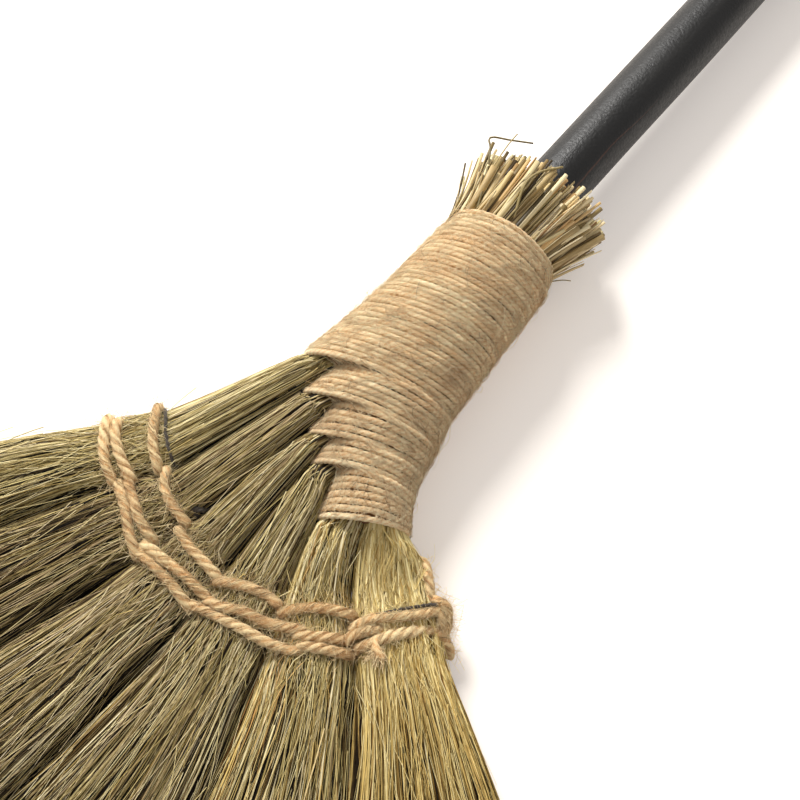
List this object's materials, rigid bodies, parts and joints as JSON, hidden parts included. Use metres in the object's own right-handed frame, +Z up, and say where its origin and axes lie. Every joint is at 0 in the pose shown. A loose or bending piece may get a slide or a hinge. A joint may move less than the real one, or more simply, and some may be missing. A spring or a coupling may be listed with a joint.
{
  "type": "grass broom",
  "caption": "Soft grass broom with a dark wooden handle, a jute-wound neck and a fan of sewn grass bundles.",
  "frame": {"origin": "middle of the foot of the broom's box, on the floor that it lies on", "axes": "+Z up, +Y along the plan of the handle towards its free end, +X to the right, seen from above with the handle pointing away"},
  "size_m": [0.3968, 0.9488, 0.0449],
  "materials": {
    "stained_wood": "satin",
    "dry_grass": "matt",
    "straw": "matt",
    "jute": "matt, fuzzy",
    "black_jute": "matt"
  },
  "bodies": {
    "root": {"handle": "stained_wood", "grass_bundle_1": "dry_grass", "grass_bundle_2": "dry_grass", "grass_bundle_3": "dry_grass", "grass_bundle_4": "dry_grass", "grass_bundle_5": "dry_grass", "grass_bundle_6": "dry_grass", "stalk_ends": "straw", "neck_winding": "jute", "upper_sewing_twine": "jute", "inner_sewing_twine": "jute", "outer_sewing_twine": "jute", "black_cord": "black_jute"}
  },
  "joints": []
}
